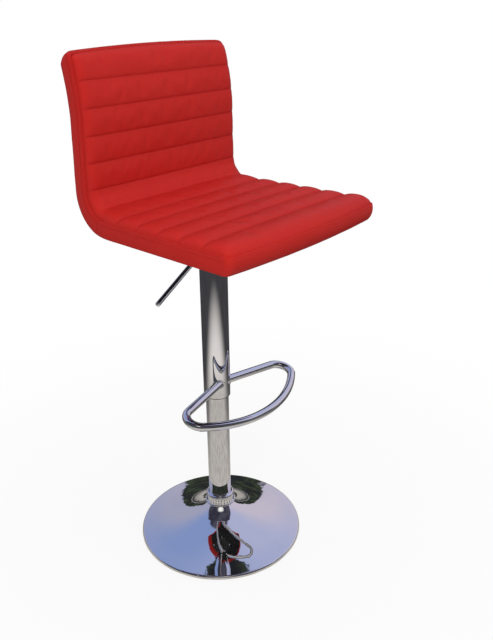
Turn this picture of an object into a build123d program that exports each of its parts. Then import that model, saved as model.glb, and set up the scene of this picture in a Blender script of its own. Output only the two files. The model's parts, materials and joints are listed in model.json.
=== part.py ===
from build123d import *
from math import cos, radians, sin, tan
import os

# All sizes are in millimetres. The stool stands on the floor at z = 0 with its column on the z axis,
# its front towards -y, and the seat raised as far as it goes.

# Clearances
layer_gap = 0.3            # between layers of upholstery and wood, and round loose fits
slip_gap = 0.05            # radial, on running and push fits of turned pieces
glide_gap = 0.1            # radial, on the long sliding fits

# Base
base_diameter = 385.0
rim_lift = 1.5             # the dish's edge stays this far off the floor
rim_top = 9.0
rim_round = 5.0
dish_wall = 1.6
skirt_angle = 6.5          # the dish's slope near its rim, degrees
sweep_angle = 34.0         # halfway up
neck_angle = 50.0          # under the collar
sweep_round = 250.0        # the slow curve from the rim halfway up
neck_round = 110.0         # the tighter curve into the neck
neck_radius = 31.5
neck_top = 77.0
neck_run = 19.5            # down the neck to where its line meets the sweep's
weight_thickness = 8.0
weight_hole_radius = 22.0
foot_lip = 3.0             # rubber under the weight plate
foot_lip_width = 12.0
foot_width = 13.0
foot_rim_gap = 2.5         # from the dish's edge to the rubber

# Socket, collar and standing tube
tube_diameter = 52.0
tube_wall = 1.5
tube_top = 470.0
socket_wall = 2.8
socket_height = 56.0
flange_radius = 56.0
flange_thickness = 4.0
flange_bolt_radius = 44.0
flange_bolt_count = 4
collar_height = 26.0
collar_bead_radius = 36.0
collar_bead_height = 4.5
collar_band_radius = 33.6
collar_throat_radius = 31.0  # under the rolled ring
collar_ring_height = 8.0
collar_ring_radius = 32.6
collar_lip = 1.8           # wall left round the tube at the collar's top edge
flute_count = 30
flute_width = 2.6
flute_depth = 1.1
flute_share = 0.72         # of the band's height

# Turning bearing in the foot of the standing tube
end_plate_lift = 3.5       # from the weight plate to the tube's end plate
end_plate_thickness = 4.0
rod_diameter = 10.0
race_thickness = 2.6
race_outer_radius = 17.0
ball_radius = 2.5
ball_circle = 12.0
ball_count = 10
ball_sink = 0.8            # how deep a ball sits in each race
cage_thickness = 1.6
shoulder_radius = 10.0
shoulder_height = 4.0
clip_thickness = 1.2
clip_radius = 9.0
rod_tail = 2.0             # rod left below its clip
buffer_radius = 14.0
buffer_height = 22.0

# Gas spring
stroke = 210.0
cylinder_diameter = 28.0
cylinder_wall = 2.0
rest_air = 3.0             # left between cylinder and buffer with the seat right down
gland_height = 20.0
seal_height = 4.0
piston_height = 15.0
piston_air = 0.6           # left between piston and seal with the seat right up
ring_groove = 3.0
ring_depth = 1.8
nut_height = 5.0
nut_radius = 8.0
valve_height = 22.0
pin_radius = 3.0
pin_head_radius = 4.0
pin_head_skirt = 2.0
pin_air = 0.6              # left under the pin's head when it is pressed right down
bush_height = 48.0
bush_rim = 3.0

# Moving sleeve and its footrest
sleeve_diameter = 60.0
sleeve_wall = 1.5
sleeve_bottom = 371.5
glide_height = 20.0
glide_rim = 1.5
cap_thickness = 6.0
footrest_height = 411.8    # where the loop's plane crosses the column's axis
footrest_tilt = 12.0       # the front hangs lower, degrees
footrest_tube = 18.0
footrest_wall = 1.5
footrest_root = 18.8       # arms' lines meet this far in front of the axis
footrest_arm_angle = 11.5  # arms sweep forward, degrees
footrest_corner = 198.6    # sideways from the axis to where arm and front lines meet
footrest_front_angle = 39.0
footrest_corner_round = 30.5
footrest_front_round = 244.0
footrest_start = 8.0       # arm begins this far from the axis, inside the sleeve's outline

# Seat mechanism
seat_bottom = 770.0
dust_cover_thickness = 1.0
dust_cover_inset = 14.0
plate_size = 190.0
plate_thickness = 3.0
plate_corner = 14.0
plate_flange = 12.0
hub_length = 62.0
hub_radius = 23.0
hub_flat = 21.0            # flat on the hub that carries the lever bracket
bolt_spacing = 150.0
bolt_radius = 4.0
bolt_head_flats = 13.0
bolt_head_height = 5.3
washer_radius = 8.5
washer_thickness = 1.6
nut_flange_radius = 10.0
nut_flange_thickness = 1.5
nut_wall = 1.6

# Lever
lever_turn = 12.3          # turned forward from the stool's side, degrees
lever_slope = 18.5         # handle hangs down, degrees
lever_height = 734.3       # where its line crosses the column's axis
lever_diameter = 10.0
lever_reach = 211.0
lever_tail = 8.0
lever_lift = 8.0           # how far it can be lifted, degrees
pivot_reach = 36.0
pivot_radius = 2.5
barrel_radius = 7.0
bracket_wall = 2.5
bracket_drop = 11.0
bracket_rise = 12.0
bracket_nose = 9.0
lever_room = 0.5           # each side of the lever in its bracket
slot_rise = 30.0

# Upholstered seat and back, one bent shell
seat_front = 256.0         # front edge, from the column's axis to the middle of the front
front_bow = 12.5           # the front edge falls back this far at the corners
bend_start = 82.0          # from the column's axis back to where the shell starts to bend up
bend_radius = 82.0
bend_turn = 91.0           # degrees
back_straight = 118.0
top_curl_radius = 360.0    # the top of the back curls rearwards
back_run = 320.0           # from the bend's start to the top edge, along the front
top_arch = 5.5             # the top edge drops this far at the corners
seat_width = 429.0         # where the seat starts to bend
front_flare = 17.0         # the front is this much wider
top_taper = 15.0           # the top of the back is this much narrower
cover_thickness = 3.0
board_thickness = 12.0
board_inset = 6.0          # board's edge in from the side strips
boxing_thickness = 3.0
boxing_depth = 37.0
boxing_end = 9.0           # side strips stop this short of the front and top edges
lip_length = 12.0          # cushion wrapped over the board's front and top edges
channel_depth = 46.5       # shell's outside to the bottom of a sewn channel
rib_height = 5.5
crown = 1.5                # the middle of the cushion stands prouder
edge_roll = 7.0            # soft corner at the front and top edges
edge_bulge = 5.0
first_seat_channel = 40.0  # in front of the bend's start
seat_channel_pitch = 56.4
seat_channel_count = 5
fold_channel = 18.6        # behind the bend's start
first_back_channel = 61.6
back_channel_pitch = 50.0
back_channel_count = 5
# How the cushion's face falls towards each side: distance in from the side strip, and the drop there.
shoulder_steps = [(0.0, 9.0), (4.0, 5.0), (12.0, 2.0), (40.0, 0.0), (110.0, -1.0)]

# Levels that several pieces share
weight_top = foot_lip + weight_thickness
tube_radius = tube_diameter / 2
tube_bore = tube_radius - tube_wall
rod_radius = rod_diameter / 2
end_plate_low = weight_top + end_plate_lift
end_plate_top = end_plate_low + end_plate_thickness
race_gap = 2 * (ball_radius - ball_sink)
upper_race_low = end_plate_top + race_thickness + race_gap + 2 * slip_gap
shoulder_low = upper_race_low + race_thickness
buffer_low = shoulder_low + shoulder_height
buffer_top = buffer_low + buffer_height
cylinder_radius = cylinder_diameter / 2
cylinder_bore = cylinder_radius - cylinder_wall
cylinder_low = buffer_top + rest_air + stroke
piston_low = cylinder_low + gland_height + seal_height + piston_air
piston_top = piston_low + piston_height
sleeve_radius = sleeve_diameter / 2
sleeve_bore = sleeve_radius - sleeve_wall
plate_top = seat_bottom - dust_cover_thickness
plate_low = plate_top - plate_thickness
hub_low = plate_low - hub_length
lever_radius = lever_diameter / 2
pivot_height = lever_height - pivot_reach * tan(radians(lever_slope))
pin_clear = pin_head_radius + lever_radius + layer_gap
pin_centre = lever_height - pin_clear / cos(radians(lever_slope))
lifted_slope = radians(lever_slope - lever_lift)
pin_centre_pressed = pivot_height + pivot_reach * tan(lifted_slope) - pin_clear / cos(lifted_slope)
pin_travel = pin_centre - pin_centre_pressed
cylinder_top = pin_centre_pressed - pin_head_skirt - pin_air
valve_low = cylinder_top - valve_height
cushion_base = cover_thickness + board_thickness + 2 * layer_gap
board_low = cover_thickness + layer_gap

parts = {}


def rod(radius, low, high):
    return Pos(0, 0, low) * Cylinder(radius, high - low, align=(Align.CENTER, Align.CENTER, Align.MIN))


def tube(outer, inner, low, high):
    return rod(outer, low, high) - rod(inner, low, high)


def turned(edges):
    # A ring or dish turned about the column's axis from a closed outline in the x-z plane.
    outline = [piece for edge in edges for piece in edge.edges()]
    return revolve(Plane.XZ * make_face(outline), Axis.Z)


def corners(spacing):
    half = spacing / 2
    return [Pos(sx * half, sy * half, 0) for sx in (-1, 1) for sy in (-1, 1)]


# Base
base_radius = base_diameter / 2
# The weight plate reaches out to where its top edge meets the dish's underside.
skirt_room = weight_top + layer_gap + dish_wall / cos(radians(skirt_angle)) - rim_top
weight_radius = base_radius - skirt_room / tan(radians(skirt_angle))


def set_in(corner, slope, next_slope, wall):
    # A corner of the dish's outline, moved to one wall thickness inside the two lines that meet there.
    share = wall / (1 + cos(next_slope - slope))
    out = corner[0] - share * (sin(slope) + sin(next_slope))
    up = corner[1] - share * (cos(slope) + cos(next_slope))
    return out, up


def dish_path(wall):
    # Rim, skirt, sweep and neck as lines with rounded corners, one wall thickness inside the outer face.
    skirt, sweep, neck = (radians(angle) for angle in (skirt_angle, sweep_angle, neck_angle))
    neck_corner = (neck_radius + neck_run * cos(neck), neck_top - neck_run * sin(neck))
    sweep_fall = neck_corner[1] - rim_top + neck_corner[0] * tan(sweep) - base_radius * tan(skirt)
    skirt_out = sweep_fall / (tan(sweep) - tan(skirt))
    skirt_corner = (skirt_out, rim_top + (base_radius - skirt_out) * tan(skirt))
    # The slow curve is no larger than the skirt's and the sweep's lines leave room for.
    skirt_line = (base_radius - skirt_out) / cos(skirt) - rim_round
    sweep_line = (skirt_out - neck_corner[0]) / cos(sweep) - neck_round * tan((neck - sweep) / 2)
    room = min(skirt_line, sweep_line) - layer_gap
    slow_round = min(sweep_round, room / tan((sweep - skirt) / 2))
    rim = base_radius - wall
    points = [
        (rim, rim_lift),
        (rim, rim_top - wall / cos(skirt) + wall * tan(skirt)),
        set_in(skirt_corner, skirt, sweep, wall),
        set_in(neck_corner, sweep, neck, wall),
        (neck_radius - wall / sin(neck), neck_top),
    ]
    return FilletPolyline(*points, radius=[rim_round - wall, slow_round + wall, neck_round + wall])


dish_outer = dish_path(0)
dish_inner = dish_path(dish_wall)
parts["base_dish"] = turned([
    dish_outer,
    Line(dish_outer @ 1, dish_inner @ 1),
    dish_inner,
    Line(dish_inner @ 0, dish_outer @ 0),
])

parts["base_weight"] = tube(weight_radius, weight_hole_radius, foot_lip, weight_top)
foot_outer = base_radius - dish_wall - foot_rim_gap
foot_ring = tube(foot_outer, weight_radius - foot_lip_width, 0, foot_lip)
parts["base_foot_ring"] = foot_ring + tube(foot_outer, foot_outer - foot_width, 0, rim_top - dish_wall)

socket_radius = tube_radius + slip_gap + socket_wall
socket = tube(socket_radius, tube_radius + slip_gap, weight_top, weight_top + socket_height)
socket += tube(flange_radius, tube_radius + slip_gap, weight_top, weight_top + flange_thickness)
flange_places = PolarLocations(flange_bolt_radius, flange_bolt_count)
flange_bolts = []
flange_top = weight_top + flange_thickness
bolt_head = extrude(RegularPolygon(bolt_head_flats / 2, 6, major_radius=False), bolt_head_height)
for place in flange_places:
    hole = place * rod(bolt_radius + slip_gap, foot_lip, flange_top)
    socket -= hole
    parts["base_weight"] -= hole
    bolt = rod(bolt_radius, foot_lip, flange_top) + Pos(0, 0, flange_top) * bolt_head
    flange_bolts.append(place * bolt)
parts["base_socket"] = socket
parts["socket_bolts"] = Compound(children=flange_bolts)

# Standing tube with its collar, bush and end plate
parts["column_tube"] = tube(tube_radius, tube_bore, weight_top, tube_top)
collar_top = neck_top + collar_height
bead_top = neck_top + collar_bead_height
ring_low = collar_top - collar_ring_height
collar_bore = tube_radius + glide_gap
collar = turned([
    Line((collar_bore, neck_top), (collar_band_radius, neck_top)),
    ThreePointArc(
        (collar_band_radius, neck_top),
        (collar_bead_radius, (neck_top + bead_top) / 2),
        (collar_band_radius, bead_top),
    ),
    Line((collar_band_radius, bead_top), (collar_throat_radius, ring_low)),
    ThreePointArc(
        (collar_throat_radius, ring_low),
        (collar_ring_radius, (ring_low + collar_top) / 2),
        (collar_bore + collar_lip, collar_top),
    ),
    Line((collar_bore + collar_lip, collar_top), (collar_bore, collar_top)),
    Line((collar_bore, collar_top), (collar_bore, neck_top)),
])
flute_height = (ring_low - bead_top) * flute_share
flute_level = (ring_low + bead_top) / 2
flute_centre = (collar_band_radius + collar_throat_radius) / 2
flute = Box(2 * flute_depth, flute_width, flute_height)
parts["column_collar"] = collar - [
    Pos(0, 0, flute_level) * place * flute for place in PolarLocations(flute_centre, flute_count)
]

bush_radius = tube_bore - slip_gap
bush = rod(bush_radius, tube_top - bush_height, tube_top) + rod(tube_radius, tube_top, tube_top + bush_rim)
parts["guide_bush"] = bush - rod(cylinder_radius + slip_gap, tube_top - bush_height, tube_top + bush_rim)
parts["tube_end_plate"] = tube(tube_bore - slip_gap, rod_radius + slip_gap, end_plate_low, end_plate_top)

# Bearing under the rod's shoulder
ball_level = end_plate_top + race_thickness - ball_sink + ball_radius + slip_gap
ball_track = Pos(0, 0, ball_level) * Torus(ball_circle, ball_radius + slip_gap)
race_bore = rod_radius + layer_gap
lower_race = tube(race_outer_radius, race_bore, end_plate_top, end_plate_top + race_thickness)
parts["bearing_lower_race"] = lower_race - ball_track
upper_race = tube(race_outer_radius, rod_radius + slip_gap, upper_race_low, shoulder_low)
parts["bearing_upper_race"] = upper_race - ball_track
cage = tube(race_outer_radius, race_bore, ball_level - cage_thickness / 2, ball_level + cage_thickness / 2)
balls = []
for place in PolarLocations(ball_circle, ball_count):
    seat = Pos(0, 0, ball_level) * place
    cage -= seat * Sphere(ball_radius + slip_gap)
    balls.append(seat * Sphere(ball_radius))
parts["bearing_cage"] = cage
parts["bearing_balls"] = Compound(children=balls)

# Rod, its clip and the piston: they turn with the seat but don't rise
clip_top = end_plate_low - slip_gap
clip_low = clip_top - clip_thickness
piston_rod = rod(rod_radius, clip_low - rod_tail, piston_top + nut_height)
parts["piston_rod"] = piston_rod + rod(shoulder_radius, shoulder_low, buffer_low)
parts["rod_clip"] = tube(clip_radius, rod_radius + slip_gap, clip_low, clip_top)
parts["rod_buffer"] = tube(buffer_radius, rod_radius + slip_gap, buffer_low, buffer_top)
piston_radius = cylinder_bore - slip_gap
groove_low = piston_low + (piston_height - ring_groove) / 2
groove_top = groove_low + ring_groove
groove_floor = piston_radius - ring_depth
groove = tube(piston_radius, groove_floor, groove_low, groove_top)
parts["piston"] = tube(piston_radius, rod_radius + slip_gap, piston_low, piston_top) - groove
ring = tube(piston_radius, groove_floor + slip_gap, groove_low + slip_gap, groove_top - slip_gap)
parts["piston_ring"] = ring
nut = Pos(0, 0, piston_top) * extrude(RegularPolygon(nut_radius, 6), nut_height)
parts["piston_nut"] = nut - rod(rod_radius + slip_gap, piston_top, piston_top + nut_height)

# Cylinder that carries the seat
parts["gas_cylinder"] = tube(cylinder_radius, cylinder_bore, cylinder_low, cylinder_top)
insert_radius = cylinder_bore - slip_gap
gland_top = cylinder_low + gland_height
parts["cylinder_gland"] = tube(insert_radius, rod_radius + slip_gap, cylinder_low, gland_top)
parts["rod_seal"] = tube(insert_radius, rod_radius + slip_gap, gland_top, gland_top + seal_height)
parts["valve_body"] = tube(insert_radius, pin_radius + slip_gap, valve_low, cylinder_top)
pin_head = rod(pin_head_radius, pin_centre - pin_head_skirt, pin_centre)
pin_dome = Pos(0, 0, pin_centre) * Sphere(pin_head_radius, arc_size1=0)
parts["release_pin"] = rod(pin_radius, valve_low + pin_travel, pin_centre) + pin_head + pin_dome

# Sleeve over the standing tube
sleeve_top = hub_low
parts["cover_sleeve"] = tube(sleeve_radius, sleeve_bore, sleeve_bottom, sleeve_top)
glide = tube(sleeve_bore - slip_gap, tube_radius + glide_gap, sleeve_bottom, sleeve_bottom + glide_height)
glide += tube(sleeve_radius, tube_radius + glide_gap, sleeve_bottom - glide_rim, sleeve_bottom)
parts["sleeve_glide"] = glide
cap_low = sleeve_top - cap_thickness
parts["sleeve_cap"] = tube(sleeve_bore - slip_gap, cylinder_radius + slip_gap, cap_low, sleeve_top)

# Footrest loop, bent from one tube, its ends welded to the sleeve's sides
tilt = radians(footrest_tilt)
loop_plane = Plane(origin=(0, 0, footrest_height), x_dir=(1, 0, 0), z_dir=(0, -sin(tilt), cos(tilt)))
arm_fall = tan(radians(footrest_arm_angle))
corner_y = -footrest_root - footrest_corner * arm_fall
front_y = corner_y - footrest_corner * tan(radians(footrest_front_angle))
start_y = -footrest_root - footrest_start * arm_fall
loop_line = loop_plane * FilletPolyline(
    (footrest_start, start_y),
    (footrest_corner, corner_y),
    (0, front_y),
    (-footrest_corner, corner_y),
    (-footrest_start, start_y),
    radius=[footrest_corner_round, footrest_front_round, footrest_corner_round],
)
loop_section = Circle(footrest_tube / 2) - Circle(footrest_tube / 2 - footrest_wall)
loop_tube = sweep(Plane(origin=loop_line @ 0, z_dir=loop_line % 0) * loop_section, path=loop_line)
loop_span = footrest_tube + 2 * footrest_corner * sin(tilt)
weld_face = rod(sleeve_radius + slip_gap, footrest_height - loop_span, footrest_height + loop_span)
parts["footrest_loop"] = loop_tube - weld_face

# Seat plate, hub and bolts
plate = extrude(RectangleRounded(plate_size, plate_size, plate_corner), plate_thickness)
flange_length = plate_size - 2 * plate_corner
flange = Box(plate_thickness, flange_length, plate_flange, align=(Align.MIN, Align.CENTER, Align.MAX))
plate += Pos(-plate_size / 2, 0, 0) * flange + Pos(plate_size / 2 - plate_thickness, 0, 0) * flange
plate = Pos(0, 0, plate_low) * plate

# The lever's own plane: x outwards along the lever, y across it
lever_frame = Rot(0, 0, 180 + lever_turn)
hub = tube(hub_radius, cylinder_radius + slip_gap, hub_low, plate_low)
slot_width = lever_diameter + 2 * lever_room
slot_low = pivot_height - bracket_drop
slot = Box(hub_radius, slot_width, slot_rise, align=(Align.MIN, Align.CENTER, Align.MIN))
flat_depth = hub_radius - hub_flat
bracket_height = bracket_drop + bracket_rise
flat_cut = Box(flat_depth, 2 * hub_radius, bracket_height, align=(Align.MIN, Align.CENTER, Align.MIN))
hub -= lever_frame * Pos(0, 0, slot_low) * slot
hub -= lever_frame * Pos(hub_flat, 0, slot_low) * flat_cut
parts["seat_hub"] = hub

bracket_width = slot_width + 2 * bracket_wall
bracket_length = pivot_reach + bracket_nose - hub_flat
bracket = Box(bracket_length, bracket_width, bracket_height, align=(Align.MIN, Align.CENTER, Align.MIN))
bracket -= Box(bracket_length, slot_width, bracket_height, align=(Align.MIN, Align.CENTER, Align.MIN))
foot_bar = Box(bracket_wall, bracket_width, bracket_wall, align=(Align.MIN, Align.CENTER, Align.MIN))
bracket = Pos(hub_flat, 0, slot_low) * (bracket + foot_bar)
pivot = Pos(pivot_reach, 0, pivot_height) * Rot(90, 0, 0)
bracket -= pivot * Cylinder(pivot_radius + slip_gap, bracket_width)
parts["lever_bracket"] = lever_frame * bracket
parts["lever_pivot_pin"] = lever_frame * pivot * Cylinder(pivot_radius, bracket_width)

# Lever: straight round rod with a domed end and a barrel on the pivot pin
lever_line = Pos(0, 0, lever_height) * Rot(0, 90 + lever_slope, 0)
lever_end = lever_reach / cos(radians(lever_slope)) - lever_radius
handle = rod(lever_radius, -lever_tail, lever_end)
handle += Pos(0, 0, lever_end) * Sphere(lever_radius, arc_size1=0)
barrel_length = lever_diameter
lever = lever_line * handle + pivot * Cylinder(barrel_radius, barrel_length)
lever -= pivot * Cylinder(pivot_radius + slip_gap, barrel_length)
parts["lever_rod"] = lever_frame * lever


# Upholstery: a point of the bent shell is found by its run along the shell and its depth from the outside
front_run = -(seat_front + bend_start)
reference_radius = bend_radius - channel_depth
bend_run = reference_radius * radians(bend_turn)
curl_start = bend_run + back_straight
bend_height = seat_bottom + bend_radius


def shell_point(run, depth):
    if run <= 0:
        return bend_start + run, seat_bottom + depth
    turn = min(run / reference_radius, radians(bend_turn))
    reach = bend_radius - depth
    y = bend_start + reach * sin(turn)
    z = bend_height - reach * cos(turn)
    straight = min(max(run - bend_run, 0), back_straight)
    y += straight * cos(turn)
    z += straight * sin(turn)
    curl = max(run - curl_start, 0) / (top_curl_radius + channel_depth)
    swing = top_curl_radius + depth
    y += swing * (sin(turn) - sin(turn - curl))
    z += swing * (cos(turn - curl) - cos(turn))
    return y, z


def half_width(y, z):
    flare = front_flare / 2 * (bend_start - y) / (seat_front + bend_start)
    taper = top_taper / 2 * (z - seat_bottom) / back_run
    return seat_width / 2 + flare - taper


def on_side(run, depth, side, inset):
    y, z = shell_point(run, depth)
    return Vector(side * (half_width(y, z) - inset), y, z)


def lie(run_from, run_to, depth, side, inset):
    # Edges that follow the shell at one depth: straight seat, bend, straight back and curled top.
    stops = [run_from, 0, bend_run, curl_start, run_to]
    edges = []
    for start, end in zip(stops, stops[1:]):
        a, b, c = (on_side(run, depth, side, inset) for run in (start, (start + end) / 2, end))
        straight = end == 0 or start == bend_run
        edges.append(Line(a, c) if straight else ThreePointArc(a, b, c))
    return edges


def slab_wire(run_from, run_to, depth_from, depth_to, side, inset):
    outside = lie(run_from, run_to, depth_from, side, inset)
    inside = lie(run_from, run_to, depth_to, side, inset)
    ends = [Line(outside[-1] @ 1, inside[-1] @ 1), Line(inside[0] @ 0, outside[0] @ 0)]
    return Wire(outside + ends + inside)


def slab(run_from, run_to, depth_from, depth_to, stations):
    wires = [slab_wire(run_from, run_to, depth_from, depth_to, *place) for place in stations]
    return Part() + Solid.make_loft(wires, ruled=True)


corner_front = front_run + front_bow
corner_top = back_run - top_arch
lip_front = corner_front + lip_length
lip_top = corner_top - lip_length
wrapped_front = lip_front + layer_gap
wrapped_top = lip_top - layer_gap
inner_edge = boxing_thickness + layer_gap
bolt_hole = rod(bolt_radius + layer_gap, plate_low, seat_bottom + cushion_base)
bolt_holes = [place * bolt_hole for place in corners(bolt_spacing)]

both_sides = [(-1, inner_edge), (1, inner_edge)]
parts["seat_cover"] = slab(wrapped_front, wrapped_top, 0, cover_thickness, both_sides) - bolt_holes
board_edge = inner_edge + board_inset
board_sides = [(-1, board_edge), (1, board_edge)]
board = slab(wrapped_front, wrapped_top, board_low, board_low + board_thickness, board_sides)

strip_front = corner_front + boxing_end
strip_top = corner_top - boxing_end
for side, name in ((-1, "left"), (1, "right")):
    faces = [(side, 0), (side, boxing_thickness)]
    parts[f"side_strip_{name}"] = slab(strip_front, strip_top, 0, boxing_depth, faces)

seat_channels = [-first_seat_channel - i * seat_channel_pitch for i in range(seat_channel_count)]
back_channels = [first_back_channel + i * back_channel_pitch for i in range(back_channel_count)]
channels = sorted(seat_channels + [fold_channel] + back_channels)


def cushion_wire(side, inset, drop):
    # One cut through the cushion: board side, the lips over the board's ends, and the sewn ribs.
    spread = 1 - inset / (seat_width / 2)
    front = corner_front - front_bow * (1 - spread ** 2) if side else front_run
    top = corner_top + top_arch * (1 - spread ** 2) if side else back_run

    def at(run, depth):
        return on_side(run, depth, side, inset + inner_edge)

    face = channel_depth - drop
    front_in = front + edge_roll
    top_in = top - edge_roll
    edges = lie(lip_front, lip_top, cushion_base, side, inset + inner_edge)
    edges += [
        Line(at(lip_front, 0), at(lip_front, cushion_base)),
        Line(at(front_in, 0), at(lip_front, 0)),
        ThreePointArc(at(front_in, 0), at(front - edge_bulge, face / 2), at(front_in, face)),
        Line(at(lip_top, 0), at(lip_top, cushion_base)),
        Line(at(top_in, 0), at(lip_top, 0)),
        ThreePointArc(at(top_in, 0), at(top + edge_bulge, face / 2), at(top_in, face)),
    ]
    for start, end in zip([front_in] + channels, channels + [top_in]):
        middle = (start + end) / 2
        edges.append(ThreePointArc(at(start, face), at(middle, face + rib_height), at(end, face)))
    return Wire(edges)


left = [cushion_wire(-1, inset, drop) for inset, drop in shoulder_steps]
right = [cushion_wire(1, inset, drop) for inset, drop in reversed(shoulder_steps)]
parts["seat_cushion"] = Solid.make_loft(left + [cushion_wire(0, 0, -crown)] + right, ruled=True)

# Plate, dust cover, bolts, washers and the nuts let into the board
dust_width = seat_width - 2 * dust_cover_inset
dust_front = -seat_front + front_bow + dust_cover_inset
dust_length = bend_start - dust_front
dust_cover = Box(dust_width, dust_length, dust_cover_thickness, align=(Align.CENTER, Align.MIN, Align.MIN))
parts["dust_cover"] = Pos(0, dust_front, plate_top) * dust_cover - bolt_holes
parts["seat_plate"] = plate - bolt_holes

board_level = seat_bottom + board_low
nut_top = board_level + board_thickness
nut_low = nut_top - nut_flange_thickness
nut_core = bolt_radius + slip_gap
seat_bolts = []
bolt_washers = []
board_nuts = []
for place in corners(bolt_spacing):
    washer_low = plate_low - washer_thickness
    bolt = rod(bolt_radius, washer_low, nut_low) + Pos(0, 0, washer_low - bolt_head_height) * bolt_head
    seat_bolts.append(place * bolt)
    bolt_washers.append(place * tube(washer_radius, bolt_radius + slip_gap, washer_low, plate_low))
    barrel = rod(nut_core + nut_wall, board_level, nut_low) + rod(nut_flange_radius, nut_low, nut_top)
    board_nuts.append(place * (barrel - rod(nut_core, board_level, nut_top)))
    board -= place * rod(nut_core + nut_wall + slip_gap, board_level, nut_top)
    board -= place * rod(nut_flange_radius + slip_gap, nut_low, nut_top)
parts["seat_board"] = board
parts["seat_bolts"] = Compound(children=seat_bolts)
parts["bolt_washers"] = Compound(children=bolt_washers)
parts["board_nuts"] = Compound(children=board_nuts)

os.makedirs("parts", exist_ok=True)
for name, shape in parts.items():
    export_step(shape, f"parts/{name}.step")
print("pin travel per radian of lever, metres:", round(pin_travel / radians(lever_lift) / 1000, 5))
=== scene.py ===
import bpy
import json
from math import cos, exp, pi, radians, sin, sqrt
from mathutils import Matrix, Vector, noise


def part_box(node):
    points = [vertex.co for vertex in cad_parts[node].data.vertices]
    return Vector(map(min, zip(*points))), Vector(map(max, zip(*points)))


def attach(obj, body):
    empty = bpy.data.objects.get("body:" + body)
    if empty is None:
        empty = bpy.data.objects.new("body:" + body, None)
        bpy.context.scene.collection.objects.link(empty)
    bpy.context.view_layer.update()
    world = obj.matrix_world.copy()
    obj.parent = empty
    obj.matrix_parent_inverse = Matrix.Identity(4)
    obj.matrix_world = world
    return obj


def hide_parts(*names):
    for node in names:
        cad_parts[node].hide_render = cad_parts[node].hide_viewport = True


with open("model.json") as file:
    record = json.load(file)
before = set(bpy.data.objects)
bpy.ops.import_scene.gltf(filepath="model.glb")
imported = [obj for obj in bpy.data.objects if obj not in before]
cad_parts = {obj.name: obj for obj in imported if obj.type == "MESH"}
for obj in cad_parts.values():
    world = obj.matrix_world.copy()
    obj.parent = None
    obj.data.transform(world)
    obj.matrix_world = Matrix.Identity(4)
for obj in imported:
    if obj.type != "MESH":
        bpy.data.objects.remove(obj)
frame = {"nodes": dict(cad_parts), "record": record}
cadNodes = frame["nodes"]
scene = bpy.context.scene
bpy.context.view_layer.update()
smoothAngle = radians(50)


# working by hand

def deselectAll():
    if bpy.context.mode != "OBJECT":
        bpy.ops.object.mode_set(mode="OBJECT")
    bpy.ops.object.select_all(action="DESELECT")


def pick(*things):
    deselectAll()
    for thing in things:
        thing.select_set(True)
    bpy.context.view_layer.objects.active = things[-1]


def added(name):
    thing = bpy.context.active_object  # what the last operator made
    thing.name = name
    thing.data.name = name
    return thing


def modify(thing, kind, **settings):
    pick(thing)
    modifier = thing.modifiers.new(kind.title(), kind)
    for key, value in settings.items():
        setattr(modifier, key, value)
    bpy.ops.object.modifier_apply(modifier=modifier.name)


def tidyMesh(thing, mergeGap=1e-6):
    pick(thing)
    bpy.ops.object.mode_set(mode="EDIT")
    bpy.ops.mesh.select_all(action="SELECT")
    bpy.ops.mesh.remove_doubles(threshold=mergeGap)
    bpy.ops.mesh.normals_make_consistent(inside=False)
    bpy.ops.object.mode_set(mode="OBJECT")


def joined(name, things):
    pick(*things)
    bpy.ops.object.join()
    return added(name)


def finishPiece(thing, body, material):
    thing.data.materials.clear()
    thing.data.materials.append(material)
    pick(thing)
    bpy.ops.object.shade_smooth_by_angle(angle=smoothAngle)
    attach(thing, body)


def mixed(a, b, share):
    return a + (b - a) * share


def smoothStep(low, high, value):
    share = min(max((value - low) / (high - low), 0), 1)
    return share * share * (3 - 2 * share)


def rounded(distance, reach):
    share = min(max(distance / reach, 0), 1)
    return sqrt(1 - (1 - share) ** 2)


def wobble(scale, *place):
    return noise.noise(Vector([spot * size for spot, size in zip(place, scale)]))


# shader nodes, with sums written as plain sums

class Wire:
    def __init__(self, maker, socket):
        self.maker = maker
        self.socket = socket

    def math(self, operation, first, second):
        return self.maker.node("ShaderNodeMath", {"operation": operation}, {0: first, 1: second})

    def __add__(self, other):
        return self.math("ADD", self, other)

    def __sub__(self, other):
        return self.math("SUBTRACT", self, other)

    def __rsub__(self, other):
        return self.math("SUBTRACT", other, self)

    def __mul__(self, other):
        return self.math("MULTIPLY", self, other)

    def __truediv__(self, other):
        return self.math("DIVIDE", self, other)

    def __pow__(self, other):
        return self.math("POWER", self, other)

    def __abs__(self):
        return self.math("ABSOLUTE", self, 0.0)

    __radd__ = __add__
    __rmul__ = __mul__


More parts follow.
